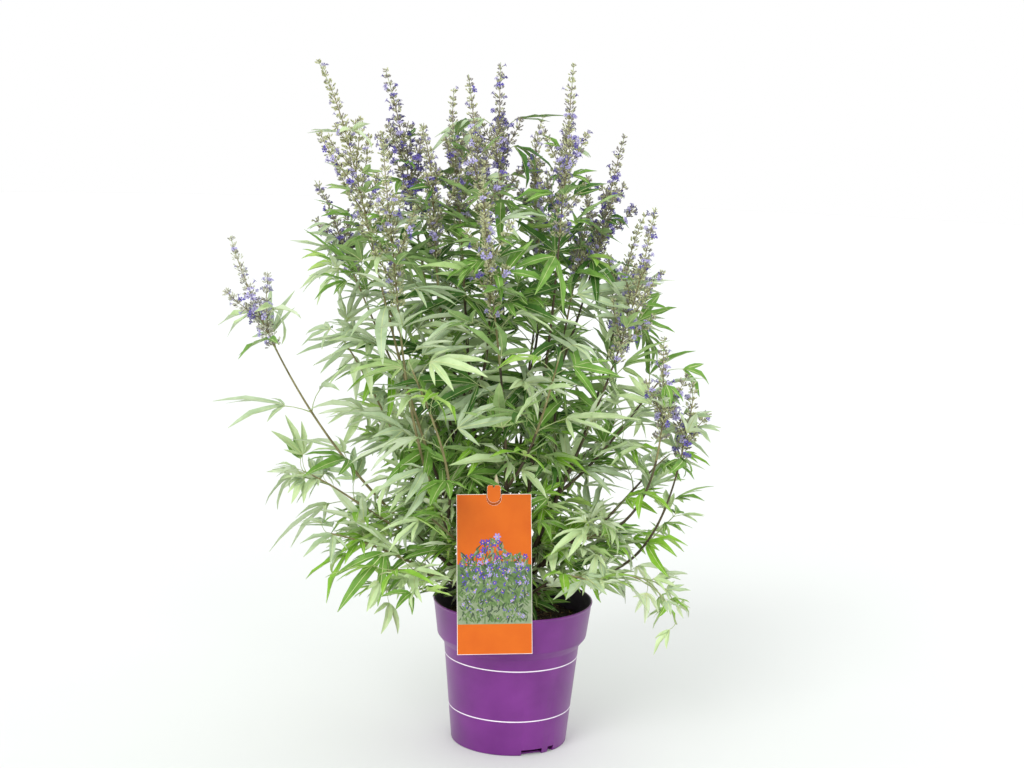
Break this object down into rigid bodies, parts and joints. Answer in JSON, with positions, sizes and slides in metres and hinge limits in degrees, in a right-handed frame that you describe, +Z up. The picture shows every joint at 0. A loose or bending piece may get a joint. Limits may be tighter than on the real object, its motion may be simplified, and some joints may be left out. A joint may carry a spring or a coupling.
{
  "type": "potted chaste tree",
  "caption": "Many-stemmed flowering shrub with palmate leaves and tall spires of violet blossom, in a round nursery pot with a collar and a blank card label leaning on its rim.",
  "frame": {"origin": "centre of the pot's flat underside", "axes": "+Z up along the pot; -Y towards the side with the card label; +X to the right seen from that side"},
  "size_m": [0.6864, 0.5065, 0.9344],
  "materials": {
    "pot_plastic": "satin",
    "soil": "matte",
    "card": "satin",
    "bark": "matte",
    "cut_wood": "matte",
    "foliage": "matte",
    "blossom": "matte"
  },
  "bodies": {
    "root": {"nursery_pot": "pot_plastic", "potting_soil": "soil", "card_label": "card", "trunk": "bark", "cut_stem": "cut_wood", "bough_low_left": "bark", "bough_far_left": "bark", "bough_left_tall": "bark", "bough_left_front": "bark", "bough_left_back": "bark", "bough_centre_left": "bark", "bough_centre_back": "bark", "bough_centre_front": "bark", "bough_right_centre": "bark", "bough_right_tall": "bark", "bough_right": "bark", "bough_low_right": "bark", "bough_back_1": "bark", "bough_back_2": "bark", "bough_back_3": "bark", "low_left_leaves": "foliage", "low_front_leaves": "foliage", "far_left_spire": "blossom", "far_left_leaves": "foliage", "left_tall_spire": "blossom", "left_side_spire": "blossom", "left_mid_leaves": "foliage", "left_pale_spire": "blossom", "left_front_leaves": "foliage", "left_back_spire": "blossom", "left_back_leaves": "foliage", "centre_left_spire": "blossom", "centre_pale_spire": "blossom", "inner_pale_spire": "blossom", "centre_back_spire": "blossom", "back_high_spire": "blossom", "centre_front_spire": "blossom", "centre_front_leaves": "foliage", "right_centre_spire": "blossom", "right_high_spire": "blossom", "right_tall_spire": "blossom", "right_inner_spire": "blossom", "right_mid_leaves": "foliage", "right_spire": "blossom", "right_leaves": "foliage", "low_right_spire": "blossom", "low_right_leaves": "foliage", "back_1_spire": "blossom", "back_1_leaves": "foliage", "back_2_spire": "blossom", "back_2_leaves": "foliage", "back_3_spire": "blossom", "back_3_leaves": "foliage", "skirt_front_right": "foliage", "skirt_inner_right": "foliage", "skirt_inner_left": "foliage", "skirt_back_right": "foliage", "skirt_back_left": "foliage"}
  },
  "joints": []
}
